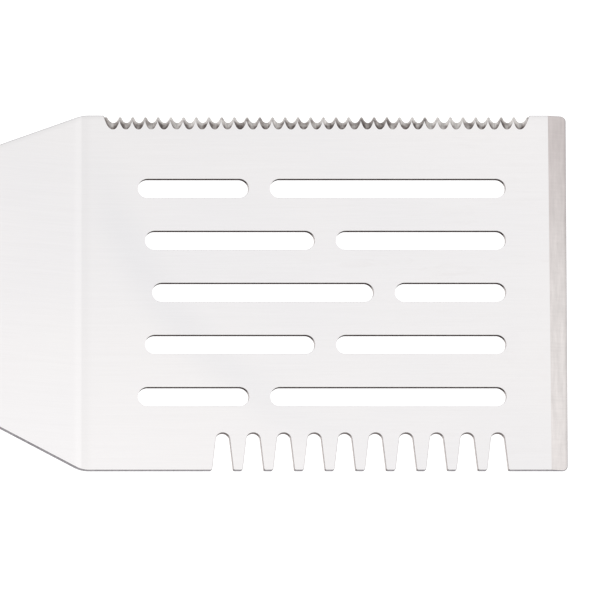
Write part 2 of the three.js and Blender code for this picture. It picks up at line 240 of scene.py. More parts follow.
def rounded_path(corners):
    """The closed path through corners (x, y, radius), each radius turned as an arc."""
    path = []
    for i, (x, y, radius) in enumerate(corners):
        corner = Vector((x, y))
        if not radius:
            path.append(corner)
            continue
        back = (Vector(corners[i - 1][:2]) - corner).normalized()
        ahead = (Vector(corners[(i + 1) % len(corners)][:2]) - corner).normalized()
        half = back.angle(ahead) / 2
        centre = corner + (back + ahead).normalized() * (radius / sin(half))
        start = corner + back * (radius / tan(half)) - centre
        turn = copysign(pi - 2 * half, -back.cross(ahead))
        facets = max(2, ceil(abs(turn) / ARC_STEP))
        path += [centre + Matrix.Rotation(turn * k / facets, 2) @ start for k in range(facets + 1)]
    return path


def inward_normals(path):
    """At each point of a path with material on its left, the step that insets both sides by 1."""
    normals = []
    for i, point in enumerate(path):
        before = (point - path[i - 1]).normalized()
        after = (path[(i + 1) % len(path)] - point).normalized()
        left = Vector((-before.y - after.y, before.x + after.x)).normalized()
        mitre = max(left.dot(Vector((-after.y, after.x))), LEAST_MITRE)
        normals.append(left / mitre)
    return normals


# ---- The blade ----

FACE, SLOT, EDGE, GULLET, GRIND = range(5)  # the blade's materials


def off_centre(x):
    """How far x is ahead of the middle of its gullet, as a share of half the gullet's width there."""
    middle = GULLET_FIRST + GULLET_PITCH * round((x - GULLET_FIRST) / GULLET_PITCH)
    middle = min(max(middle, GULLET_FIRST), GULLET_LAST)
    outside = x < GULLET_FIRST or x > GULLET_LAST
    half = GULLET_PITCH / 2 * (END_FLARE if outside else 1)
    return (x - middle) / half


def painted_gullet_streaks(x):
    """How much painted shade the wall has at x: in two streaks, up each gullet's rear side and ahead of its
    middle.
    """
    return 1 - BRIGHTEST * (1 - sin(2 * pi * (off_centre(x) - STREAK_AHEAD))) / 2


def gullet_edge(x, size):
    """The serrated edge at x, from the curve of the nearest gullet."""
    depth, curve = size
    distance = abs(off_centre(x)) * GULLET_PITCH / 2
    return HEAD_WIDTH / 2 + min(0, curve * distance**GULLET_POWER - depth)


def serration_stations():
    """Places along the serrated edge, from its front end to its rear end."""
    half = GULLET_PITCH / 2
    ends = [
        END_FLARE * (depth / curve) ** (1 / GULLET_POWER) for depth, curve in (GULLET_UNDERSIDE, GULLET_TOP)
    ]
    flank = ends + [half + (ends[1] - half) * k / FLARE_SAMPLES for k in range(1, FLARE_SAMPLES)]
    steps = GULLET_COUNT * GULLET_SAMPLES
    stations = [GULLET_FIRST - half + GULLET_PITCH * k / GULLET_SAMPLES for k in range(steps + 1)]
    stations += [GULLET_FIRST - distance for distance in flank]
    stations += [GULLET_LAST + distance for distance in flank]
    return sorted(stations, reverse=True)


def notch_corners():
    """Corners of the comb's notches, from the rearmost forward."""
    edge = -HEAD_WIDTH / 2
    roof = NOTCH_RADIUS / tan((pi / 2 + NOTCH_FLANK) / 2) + NOTCH_ROOF / 2
    mouth = roof + NOTCH_DEPTH * tan(NOTCH_FLANK)
    corners = []
    for i in range(NOTCH_COUNT):
        x = NOTCH_FIRST + i * NOTCH_PITCH
        corners += [
            (x - mouth, edge, TOOTH_CORNER_RADIUS),
            (x - roof, edge + NOTCH_DEPTH, NOTCH_RADIUS),
            (x + roof, edge + NOTCH_DEPTH, NOTCH_RADIUS),
            (x + mouth, edge, TOOTH_CORNER_RADIUS),
        ]
    return corners


def blade_corners(gullet_size, lean):
    """Corners of the flat blade, anticlockwise from the end of the tang."""
    half, shank = HEAD_WIDTH / 2, SHANK_WIDTH / 2
    end = SCALE_LENGTH - FIT_GAP
    along = [end * k / TANG_SAMPLES for k in range(TANG_SAMPLES + 1)]
    tang = [(distance, handle_size(distance)[0]) for distance in along]
    tang += [(end, TENON_WIDTH / 2), (end + TENON_LENGTH, TENON_WIDTH / 2)]
    tang = [(-HANDLE_FRONT - s * cos(HANDLE_PITCH), y) for s, y in tang]
    return [
        *[(x, -y, 0) for x, y in reversed(tang)],
        (-NECK_RUN, -shank, NECK_FILLET_RADIUS),
        (0, -half, HEEL_CORNER_RADIUS),
        *notch_corners(),
        (HEAD_LENGTH, -half, FRONT_CORNER_RADIUS),
        (HEAD_LENGTH, half, FRONT_CORNER_RADIUS),
        *[(x + lean, gullet_edge(x, gullet_size), 0) for x in serration_stations()],
        (0, half, HEEL_CORNER_RADIUS),
        (-NECK_RUN, shank, NECK_FILLET_RADIUS),
        *[(x, y, 0) for x, y in tang],
    ]


def slot_path(rear, ahead, y):
    """A slot's edge, clockwise, so that the material is on its left."""
    r = SLOT_WIDTH / 2
    corners = [(rear, y - r, r), (rear, y + r, r), (ahead, y + r, r), (ahead, y - r, r)]
    return rounded_path(corners)


def hole_path(station, radius):
    """A round hole's edge in the tang, clockwise like a slot's."""
    x = -HANDLE_FRONT - station * cos(HANDLE_PITCH)
    corners = [(x - radius, -radius), (x - radius, radius), (x + radius, radius), (x + radius, -radius)]
    return rounded_path([(*corner, radius) for corner in corners])


def hole_paths():
    """The holes in the tang for the rivets and the cap's pin."""
    paths = [hole_path(station, RIVET_SLEEVE_RADIUS + FIT_GAP) for station in RIVET_STATIONS]
    return paths + [hole_path(CAP_PIN_STATION, CAP_PIN_RADIUS + FIT_GAP)]


def slot_paths():
    """Two slots in each of five rows, with the web between them further forward in the inner rows."""
    paths = []
    for row in range(-2, 3):
        inward = 2 - abs(row)
        web = SLOT_WEB_CENTRES[inward]
        y = row * SLOT_ROW_PITCH
        paths.append(slot_path(SLOT_REAR + inward * SLOT_REAR_STEP, web - SLOT_WEB / 2, y))
        paths.append(slot_path(web + SLOT_WEB / 2, SLOT_FRONT, y))
    return paths


def in_comb(point):
    """Whether a point of the outline is on a notch or a tooth of the comb."""
    rear = NOTCH_FIRST - NOTCH_PITCH / 2
    depth = point.y + HEAD_WIDTH / 2
    along = rear < point.x < rear + NOTCH_COUNT * NOTCH_PITCH
    return along and depth < NOTCH_DEPTH + COMB_MARGIN


def lean_back(point):
    """Where the foot of a punched wall lies, for a point of its upper edge."""
    return point - Vector((PUNCH_LEAN, 0))


def wall_material(a, b, default):
    """The material of the wall from a to b: the notches are punched like the slots, their tips aren't."""
    tip = -HEAD_WIDTH / 2 + EDGE_ROUNDING
    return SLOT if in_comb(a) and max(a.y, b.y) > tip else default


def sheet_edges():
    """Each edge of the flat blade: its path on the upper face, its path on the underside, its material."""
    top = rounded_path(blade_corners(GULLET_TOP, 0))
    bottom = rounded_path(blade_corners(GULLET_UNDERSIDE, GULLET_LEAN))
    bottom = [lean_back(point) if in_comb(point) else point for point in bottom]
    punched = slot_paths() + hole_paths()
    return [(top, bottom, EDGE)] + [(path, [lean_back(point) for point in path], SLOT) for path in punched]


def edge_rings(bm, top, bottom):
    """Rings of points down an edge, from the upper face to the underside, rounded at both."""
    painted_gullet_shade = bm.verts.layers.float["painted_gullet_shade"]
    levels = [(0, 1), (QUARTER_ROUND, QUARTER_ROUND), (1, 0)]
    levels = [(SHEET - EDGE_ROUNDING * drop, EDGE_ROUNDING * inset) for drop, inset in levels]
    levels += [(SHEET - height, inset) for height, inset in reversed(levels)]
    pairs = list(zip(top, bottom, inward_normals(top), inward_normals(bottom)))
    rings = []
    for height, inset in levels:
        share = height / SHEET
        ring = []
        for upper, lower, upper_in, lower_in in pairs:
            x, y = lower.lerp(upper, share) + lower_in.lerp(upper_in, share) * inset
            ring.append(bm.verts.new((x, y, height)))
            # Painted shade: darker towards the upper face, and in two streaks across each gullet
            ring[-1][painted_gullet_shade] = share * painted_gullet_streaks(x)
        rings.append(ring)
    return rings


def skin_edge(bm, rings, top, bottom, wall):
    """Faces between an edge's rings. A slot's upper lip is polished with the face."""
    for upper, lower in zip(rings, rings[1:]):
        for i in range(len(top)):
            j = (i + 1) % len(top)
            face = bm.faces.new((upper[i], lower[i], lower[j], upper[j]))
            ground = top[i].y - bottom[i].y + top[j].y - bottom[j].y < -EDGE_ROUNDING
            material = GULLET if ground else wall_material(top[i], top[j], wall)
            polished = wall == SLOT and upper is rings[0]
            face.material_index = FACE if polished else material


def flat_sheet():
    """The flat blade: its rounded edges, and the two faces that they bound."""
    bm = bmesh.new()
    bm.verts.layers.float.new("painted_gullet_shade")
    edges = []
    for top, bottom, wall in sheet_edges():
        edges.append(edge_rings(bm, top, bottom))
        skin_edge(bm, edges[-1], top, bottom, wall)
    for level in (0, -1):
        loops = [rings[level] for rings in edges]
        verts = [v for loop in loops for v in loop]
        for triangle in tessellate_polygon([[v.co for v in loop] for loop in loops]):
            bm.faces.new([verts[i] for i in triangle]).material_index = FACE
    bmesh.ops.recalc_face_normals(bm, faces=bm.faces)
    return bm


def cut_across(bm, x, skew=0.0):
    """Adds an edge across the sheet at x, for a bend or a ground face to start from."""
    geometry = bm.verts[:] + bm.edges[:] + bm.faces[:]
    bmesh.ops.bisect_plane(
        bm, geom=geometry, dist=CUT_TOLERANCE, plane_co=(x, 0, 0), plane_no=(cos(skew), sin(skew), 0)
    )


def grind_front(bm):
    """Slopes the upper face down to a thin front edge, from a line a little out of square."""
    start = HEAD_LENGTH - GRIND_RUN
    cut_across(bm, start, GRIND_SKEW)
    slope = (SHEET - GRIND_EDGE) / GRIND_RUN

    def beyond(co):
        return (co.x - start) * cos(GRIND_SKEW) + co.y * sin(GRIND_SKEW)

    for v in bm.verts:
        if beyond(v.co) > 0:
            v.co.z *= 1 - slope * beyond(v.co) / SHEET
    for face in bm.faces:
        middle = face.calc_center_median()
        if face.material_index == FACE and beyond(middle) > 0 and middle.z > GRIND_EDGE / 2:
            face.material_index = GRIND


class Bend:
    """A soft bend in the sheet between two straight runs, seen from the side."""

    def __init__(self, corner_x, corner_z, radius, front_pitch, rear_pitch):
        self.front_pitch, self.rear_pitch = front_pitch, rear_pitch
        self.radius = copysign(radius, rear_pitch - front_pitch)
        reach = radius * tan(abs(rear_pitch - front_pitch) / 2)
        self.front = corner_x + reach * cos(front_pitch)
        self.rear = corner_x - reach * cos(rear_pitch)
        self.centre_x = self.front + self.radius * sin(front_pitch)
        front_z = corner_z - reach * sin(front_pitch)
        self.centre_z = front_z + self.radius * cos(front_pitch)

    def at(self, x):
        """Height of the sheet's middle, and its pitch, inside the bend."""
        pitch = asin((self.centre_x - x) / self.radius)
        return self.centre_z - self.radius * cos(pitch), pitch

    def cuts(self):
        return [self.rear + (self.front - self.rear) * k / BEND_CUTS for k in range(BEND_CUTS + 1)]


SHOULDER_Z = SHEET / 2 + NECK_RUN * tan(NECK_PITCH)
CREASE = Bend(0, SHEET / 2, CREASE_RADIUS, 0, NECK_PITCH)
SHOULDER = Bend(-NECK_RUN, SHOULDER_Z, SHOULDER_RADIUS, NECK_PITCH, HANDLE_PITCH)


def sheet_at(x):
    """Height of the sheet's middle, and its pitch, at a place along the tool."""
    if x >= CREASE.front:
        return SHEET / 2, 0
    if x > CREASE.rear:
        return CREASE.at(x)
    if x >= SHOULDER.front:
        return SHEET / 2 - x * tan(NECK_PITCH), NECK_PITCH
    if x > SHOULDER.rear:
        return SHOULDER.at(x)
    return SHOULDER_Z - (x + NECK_RUN) * tan(HANDLE_PITCH), HANDLE_PITCH


def make_blade(materials):
    """The sheet cut flat, ground, marked with its flat coordinates, and then bent at crease and shoulder."""
    bm = flat_sheet()
    grind_front(bm)
    for x in CREASE.cuts() + SHOULDER.cuts():
        cut_across(bm, x)
    uv = bm.loops.layers.uv.new("flat")
    for face in bm.faces:
        for loop in face.loops:
            loop[uv].uv = loop.vert.co.xy * MM
    for v in bm.verts:
        middle, pitch = sheet_at(v.co.x)
        lift = v.co.z - SHEET / 2
        v.co.x += lift * sin(pitch)
        v.co.z = middle + lift * cos(pitch)
    piece = finish_piece("blade_sheet", bm, TOOL, materials, ["blade"])
    weigh_normals(piece)


# ---- The handle ----


def rounded_off(inside, end):
    """The share of the handle's full size left at a distance inside its rounded nose or butt."""
    run, blunt = end
    reach = min(max(inside / run, 0), 1)
    return blunt + (1 - blunt) * sqrt(1 - (1 - reach) ** 2)


def handle_size(distance):
    """Half width and half height of the handle at a distance from its front."""
    pairs = zip(HANDLE_STATIONS, HANDLE_STATIONS[1:])
    a, b = next((a, b) for a, b in pairs if distance <= b[0] or b[0] == HANDLE_LENGTH)
    t = min(max((distance - a[0]) / (b[0] - a[0]), 0), 1)
    ease = t * t * (3 - 2 * t)
    butt = rounded_off(HANDLE_LENGTH - distance, BUTT)
    width = (a[1] + (b[1] - a[1]) * ease) * butt
    height = (a[2] + (b[2] - a[2]) * ease) * butt * rounded_off(distance, NOSE)
    return width, height


def loft(sections):
    """A closed solid through sections with the same number of points each."""
    bm = bmesh.new()
    rings = [[bm.verts.new(point) for point in section] for section in sections]
    for near, far in zip(rings, rings[1:]):
        for i in range(len(near)):
            j = (i + 1) % len(near)
            bm.faces.new((near[i], near[j], far[j], far[i]))
    bm.faces.new(reversed(rings[0]))
    bm.faces.new(rings[-1])
    bmesh.ops.recalc_face_normals(bm, faces=bm.faces)
    return bm


def turned(profile, station):
    """A solid of rings (radius, height) about an upright axis. A ring's height is a number, or a function
    of the distance along the handle and of y."""
    sections = []
    for radius, height in profile:
        ring = []
        for k in range(TURNED_SIDES):
            angle = 2 * pi * k / TURNED_SIDES
            x, y = radius * cos(angle) - station, radius * sin(angle)
            ring.append((x, y, height(-x, y) if callable(height) else height))
        sections.append(ring)
    return loft(sections)


def rod(radius, station, low, high):
    return turned([(radius, low), (radius, high)], station)


def block(low, high):
    """A box between two corners, as a loft along X."""
    (x0, y0, z0), (x1, y1, z1) = low, high
    return loft([[(x, y0, z0), (x, y1, z0), (x, y1, z1), (x, y0, z1)] for x in (x0, x1)])


def cut_out(bm, cutters):
    """The solid with the cutters taken away."""
    scene = bpy.context.scene.collection
    objects = []
    for solid in [bm, *cutters]:
        mesh = bpy.data.meshes.new("solid")
        solid.to_mesh(mesh)
        solid.free()
        objects.append(bpy.data.objects.new("solid", mesh))
        scene.objects.link(objects[-1])
    base, *tools = objects
    for tool in tools:
        modifier = base.modifiers.new("cut", "BOOLEAN")
        modifier.operation = "DIFFERENCE"
        modifier.solver = "EXACT"
        modifier.object = tool
    result = bmesh.new()
    result.from_object(base, bpy.context.evaluated_depsgraph_get())
    for solid in objects:
        mesh = solid.data
        bpy.data.objects.remove(solid)
        bpy.data.meshes.remove(mesh)
    return result


def bow(value, squareness):
    """A cosine or sine drawn out to the curve of a squarer section."""
    return copysign(abs(value) ** (2 / squareness), value)


def on_section(place, half_size, other_half_size):
    """How far out the handle's section lies in one direction, at a place along the other."""
    return other_half_size * (1 - (abs(place) / half_size) ** HANDLE_SQUARENESS) ** (1 / HANDLE_SQUARENESS)


def below_crown(depth, side=1):
    """A ring's height that stays a depth below the handle's upper (1) or lower (-1) surface."""

    def height(distance, y):
        return side * (on_section(y, *handle_size(distance)) - depth)

    return height


def scale_section(distance, inset, side):
    """Half the handle's section, from one softened edge beside the tang over the crown to the other."""
    width, height = handle_size(distance)
    width, height = width - inset, height - inset
    low = TANG_CLEARANCE + inset
    rise = low + SCALE_ROUNDING
    reach = on_section(rise, height, width)
    soft = SCALE_ROUNDING * QUARTER_ROUND
    half = [(reach - SCALE_ROUNDING, low), (reach - soft, low + soft)]
    start = asin((rise / height) ** (HANDLE_SQUARENESS / 2))
    for k in range(CROWN_SAMPLES):
        angle = start + (pi / 2 - start) * k / CROWN_SAMPLES
        half.append((width * bow(cos(angle), HANDLE_SQUARENESS), height * bow(sin(angle), HANDLE_SQUARENESS)))
    points = half + [(0, height)] + [(-y, z) for y, z in reversed(half)]
    return [(-distance, y, z * side) for y, z in points]


def quarter_turn(cuts):
    """Angles from 0 to a quarter turn."""
    return [pi / 2 * k / cuts for k in range(cuts + 1)]


def scale_stations():
    """Distances along a scale, each with how far its section is drawn in to soften the end edges."""
    run = NOSE[0]
    nose = [run * (1 - cos(angle)) for angle in quarter_turn(NOSE_SAMPLES)]
    end = SCALE_LENGTH - FIT_GAP
    length = end - run
    body = [run + length * k / BODY_SAMPLES for k in range(1, BODY_SAMPLES)]
    front_soft, rear_soft = SCALE_ROUNDING * QUARTER_ROUND, JOINT_ROUNDING * QUARTER_ROUND
    stations = [(0, SCALE_ROUNDING), (front_soft, front_soft)]
    stations += [(distance, 0) for distance in nose + body if distance > SCALE_ROUNDING]
    return stations + [(end - JOINT_ROUNDING, 0), (end - rear_soft, rear_soft), (end, JOINT_ROUNDING)]


def make_scale(side, name, node, wood):
    """The upper (1) or lower (-1) scale, bored for the rivets' sleeves and sunk for their heads."""
    bm = loft([scale_section(distance, inset, side) for distance, inset in scale_stations()])
    holes = []
    seat = RIVET_SEAT - FIT_GAP
    for station in RIVET_STATIONS:
        low, high = sorted((seat * side, CLEAR * side))
        holes.append(rod(RIVET_SLEEVE_RADIUS + FIT_GAP, station, -CLEAR, CLEAR))
        holes.append(rod(RIVET_HEAD_RADIUS + FIT_GAP, station, low, high))
    finish_piece(name, cut_out(bm, holes), HANDLE, [wood], [node])


def flush_rings(radius, shares, rounding, side=1):
    """Rings over an end that lies flush with the handle's surface, from its middle to its side."""
    soft = rounding * QUARTER_ROUND
    rings = [(radius * share, below_crown(0, side)) for share in shares]
    rings.append((radius - rounding, below_crown(0, side)))
    return rings + [(radius - soft, below_crown(soft, side)), (radius, below_crown(rounding, side))]


def make_rivets(steel):
    """Each rivet is a headed post from above in a headed sleeve from below."""
    head = flush_rings(RIVET_HEAD_RADIUS, HEAD_RINGS, HEAD_ROUNDING) + [(RIVET_HEAD_RADIUS, RIVET_SEAT)]
    post_radius = RIVET_BORE_RADIUS - FIT_GAP
    tip = HEAD_ROUNDING
    post = head + [
        (post_radius, RIVET_SEAT),
        (post_radius, tip - RIVET_OVERLAP),
        (post_radius - tip, -RIVET_OVERLAP),
    ]
    sleeve = head + [
        (RIVET_SLEEVE_RADIUS, RIVET_SEAT),
        (RIVET_SLEEVE_RADIUS, tip - RIVET_OVERLAP),
        (RIVET_SLEEVE_RADIUS - tip, -RIVET_OVERLAP),
        (RIVET_BORE_RADIUS, -RIVET_OVERLAP),
        (RIVET_BORE_RADIUS, RIVET_OVERLAP + FIT_GAP),
    ]
    over = Matrix.Rotation(pi, 4, "X")
    for i, station in enumerate(RIVET_STATIONS, start=1):
        for half, profile, turn in (("post", post, Matrix()), ("sleeve", sleeve, over)):
            bm = turned(profile, station)
            node = f"rivet_{half}_{i}"
            finish_piece(f"{node}_steel", bm, HANDLE @ turn, [steel], [node])


def full_section(distance, width, height, squareness):
    """A whole section of the cap or the lug, from its half width and half height."""
    angles = [2 * pi * k / SECTION_SIDES for k in range(SECTION_SIDES)]
    return [(-distance, width * bow(cos(a), squareness), height * bow(sin(a), squareness)) for a in angles]


def cap_sections():
    """The cap from its joint with the scales, over its rounded end, to the tip of the lug."""
    run = BUTT[0]
    soft = JOINT_ROUNDING * QUARTER_ROUND
    front = SCALE_LENGTH + JOINT_ROUNDING
    straight = HANDLE_LENGTH - run - front
    cuts = CAP_CUTS["straight"]
    outer = [(SCALE_LENGTH, JOINT_ROUNDING), (SCALE_LENGTH + soft, soft)]
    outer += [(front + straight * k / cuts, 0) for k in range(cuts + 1)]
    turns = quarter_turn(CAP_CUTS["rounding"])
    outer += [(HANDLE_LENGTH - run * (1 - sin(angle)), 0) for angle in turns[1:]]
    sections = []
    for distance, inset in outer:
        width, height = handle_size(distance)
        sections.append((distance, width - inset, height - inset, HANDLE_SQUARENESS))
    half = LUG_WIDTH / 2
    for angle in quarter_turn(CAP_CUTS["fillet"]):
        spare = CAP_FILLET * (1 - sin(angle))
        distance = HANDLE_LENGTH + CAP_FILLET * (1 - cos(angle))
        sections.append((distance, half + spare, LUG_RADIUS + spare, LUG_SQUARENESS))
    for angle in quarter_turn(CAP_CUTS["lug"])[:-1]:
        distance = HANDLE_LENGTH + LUG_REACH + LUG_RADIUS * sin(angle)
        sections.append((distance, half, LUG_RADIUS * cos(angle), LUG_SQUARENESS))
    return [full_section(*section) for section in sections]


def make_butt_cap(steel):
    """The cast cap, slit for the tang's end and bored for its pin and the ring."""
    slit = TENON_WIDTH / 2 + FIT_GAP
    depth = SCALE_LENGTH + TENON_LENGTH + FIT_GAP
    ring_hole = rod(LUG_HOLE_RADIUS, 0, -LUG_WIDTH, LUG_WIDTH)
    lay = Matrix.Translation((-HANDLE_LENGTH - LUG_REACH, 0, 0)) @ Matrix.Rotation(pi / 2, 4, "X")
    bmesh.ops.transform(ring_hole, matrix=lay, verts=ring_hole.verts)
    cutters = [
        ring_hole,
        block((-depth, -slit, -TANG_CLEARANCE), (0, slit, TANG_CLEARANCE)),
        rod(CAP_PIN_RADIUS + FIT_GAP, CAP_PIN_STATION, -CLEAR, CLEAR),
    ]
    bm = cut_out(loft(cap_sections()), cutters)
    finish_piece("butt_cap_casting", bm, HANDLE, [steel], ["butt_cap"])


def make_cap_pin(steel):
    """The pin through the cap, flush with it above and below."""
    upper, lower = (flush_rings(CAP_PIN_RADIUS, PIN_RINGS, PIN_ROUNDING, side) for side in (1, -1))
    bm = turned(upper + lower[::-1], CAP_PIN_STATION)
    finish_piece("cap_pin_steel", bm, HANDLE, [steel], ["cap_pin"])


def make_ring(steel):
    """The wire ring, with a shallow groove where its ends are welded, opposite the lug."""
    bm = bmesh.new()
    uv = bm.loops.layers.uv.new("flat")
    low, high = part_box("hanging_ring")
    hang = ((Vector(low) + Vector(high)) / 2 - PIVOT).normalized()
    level = Vector((0, 1, 0))
    out = hang.cross(level)
    rings = []
    for k in range(RING_STEPS):
        turn = 2 * pi * k / RING_STEPS
        spoke = -hang * cos(turn) + level * sin(turn)
        middle = hang * RING_RADIUS + spoke * RING_RADIUS
        from_weld = (turn - pi) * RING_RADIUS
        radius = RING_WIRE_RADIUS - WELD_DEPTH / (1 + (from_weld / WELD_WIDTH) ** WELD_STEEPNESS)
        ring = []
        for j in range(WIRE_SIDES):
            around = 2 * pi * j / WIRE_SIDES
            ring.append(bm.verts.new(middle + (spoke * cos(around) + out * sin(around)) * radius))
        rings.append(ring)
    for k, near in enumerate(rings):
        far = rings[(k + 1) % RING_STEPS]
        for j in range(WIRE_SIDES):
            i = (j + 1) % WIRE_SIDES
            face = bm.faces.new((near[j], near[i], far[i], far[j]))
            for loop, (along, about) in zip(face.loops, ((k, j), (k, j + 1), (k + 1, j + 1), (k + 1, j))):
                length = 2 * pi * RING_RADIUS * along / RING_STEPS
                girth = 2 * pi * RING_WIRE_RADIUS * about / WIRE_SIDES
                loop[uv].uv = (length * MM, girth * MM)
    bmesh.ops.recalc_face_normals(bm, faces=bm.faces)
    place = Matrix.Translation(PIVOT)
    finish_piece("hanging_ring_wire", bm, place, [steel], ["hanging_ring"], RING_BODY)


# ---- Materials ----


class Shader:
    """A node material with a Principled shader, and short calls for the nodes that feed it."""

    def __init__(self, name):
        self.material = bpy.data.materials.new(name)
        self.material.use_nodes = True
        self.tree = self.material.node_tree
        self.surface = self.tree.nodes["Principled BSDF"]

    def node(self, kind, **settings):
        node = self.tree.nodes.new(kind)
        for key, value in settings.items():
            setattr(node, key, value)
        return node

    def link(self, source, target):
        self.tree.links.new(source, target)

    def coordinates(self, scale, source="Object"):
        """Coordinates stretched by a scale along each axis."""
        if source == "flat":
            vector = self.node("ShaderNodeUVMap", uv_map="flat").outputs["UV"]
        else:
            vector = self.node("ShaderNodeTexCoord").outputs[source]
        mapping = self.node("ShaderNodeMapping")
        mapping.inputs["Scale"].default_value = scale
        self.link(vector, mapping.inputs["Vector"])
        return mapping.outputs["Vector"]

    def noise(self, vector, detail, distortion=0.0):
        noise = self.node("ShaderNodeTexNoise")
        noise.inputs["Scale"].default_value = 1
        noise.inputs["Detail"].default_value = detail
        noise.inputs["Roughness"].default_value = 0.6
        noise.inputs["Distortion"].default_value = distortion
        self.link(vector, noise.inputs["Vector"])
        return noise.outputs["Fac"]

    def ramp(self, value, *stops):
        """A colour ramp through (position, colour) stops; a single number means grey."""
        ramp = self.node("ShaderNodeValToRGB")
        elements = ramp.color_ramp.elements
        while len(elements) < len(stops):
            elements.new(0.5)
        for element, (position, colour) in zip(elements, stops):
            element.position = position
            element.color = (*colour, 1) if isinstance(colour, tuple) else (colour,) * 3 + (1,)
        self.link(value, ramp.inputs["Fac"])
        return ramp.outputs["Color"]

    def along(self, axis, start, end):
        """From 0 to 1 between two places, in millimetres, along an axis of the flat sheet."""
        flat = self.node("ShaderNodeSeparateXYZ")
        self.link(self.coordinates((1, 1, 1), "flat"), flat.inputs["Vector"])
        share = self.node("ShaderNodeMapRange", clamp=False)
        share.inputs["From Min"].default_value = start * MM
        share.inputs["From Max"].default_value = end * MM
        self.link(flat.outputs[axis], share.inputs["Value"])
        return share.outputs["Result"]

    def math(self, operation, a, b=0.0):
        math = self.node("ShaderNodeMath", operation=operation)
        for socket, value in zip(math.inputs, (a, b)):
            if isinstance(value, bpy.types.NodeSocket):
                self.link(value, socket)
            else:
                socket.default_value = value
        return math.outputs["Value"]

    def from_far_edge(self):
        """From 0 on the serrated side's edge of the head, neck and shank to 1 a RIM further in."""
        half, shank = HEAD_WIDTH / 2, SHANK_WIDTH / 2
        slant = RIM * sqrt(1 + NECK_TAPER**2)
        lost = self.along("X", 0, -slant / NECK_TAPER)
        neck = self.math("SUBTRACT", self.along("Y", half, half - slant), lost)
        behind = self.math("MAXIMUM", neck, self.along("Y", shank, shank - RIM))
        return self.math("MINIMUM", self.along("Y", half, half - RIM), behind)

    def from_arc(self, centre, radius, reach):
        """From 1 on an arc drawn on the flat sheet to 0 at a distance of reach from it."""
        distance = self.node("ShaderNodeVectorMath", operation="DISTANCE")
        distance.inputs[1].default_value = (*[place * MM for place in centre], 0)
        self.link(self.coordinates((1, 1, 1), "flat"), distance.inputs[0])
        off = self.math("ABSOLUTE", self.math("SUBTRACT", distance.outputs["Value"], radius * MM))
        near = self.node("ShaderNodeMapRange", interpolation_type="SMOOTHSTEP")
        near.inputs["From Min"].default_value = reach * MM
        near.inputs["From Max"].default_value = 0
        self.link(off, near.inputs["Value"])
        return near.outputs["Result"]

    def spread(self, value, low, high):
        """A value from 0 to 1 spread between two limits."""
        spread = self.node("ShaderNodeMapRange")
        spread.inputs["To Min"].default_value = low
        spread.inputs["To Max"].default_value = high
        self.link(value, spread.inputs["Value"])
        return spread.outputs["Result"]

    def mix(self, factor, a, b, blend="MIX"):
        """Two colours mixed: sockets 0, 6 and 7 take the factor and the colours, and socket 2 gives it."""
        mix = self.node("ShaderNodeMix", data_type="RGBA", blend_type=blend)
        for socket, value in ((mix.inputs[0], factor), (mix.inputs[6], a), (mix.inputs[7], b)):
            if isinstance(value, bpy.types.NodeSocket):
                self.link(value, socket)
            elif isinstance(value, tuple):
                socket.default_value = (*value, 1)
            else:
                socket.default_value = value
        return mix.outputs[2]

    def multiply(self, a, b):
        return self.mix(1.0, a, b, "MULTIPLY")

    def bump(self, height, distance, strength, under=None):
        """Relief of a distance in millimetres, over another bump if there is one."""
        bump = self.node("ShaderNodeBump")
        bump.inputs["Distance"].default_value = distance * MM
        bump.inputs["Strength"].default_value = strength
        self.link(height, bump.inputs["Height"])
        if under is not None:
            self.link(under, bump.inputs["Normal"])
        return bump.outputs["Normal"]

    def set(self, **inputs):
        """Sets or links the shader's sockets, named with underscores for spaces."""
        for key, value in inputs.items():
            socket = self.surface.inputs[key.replace("_", " ")]
            if isinstance(value, bpy.types.NodeSocket):
                self.link(value, socket)
            else:
                socket.default_value = value
        return self.material


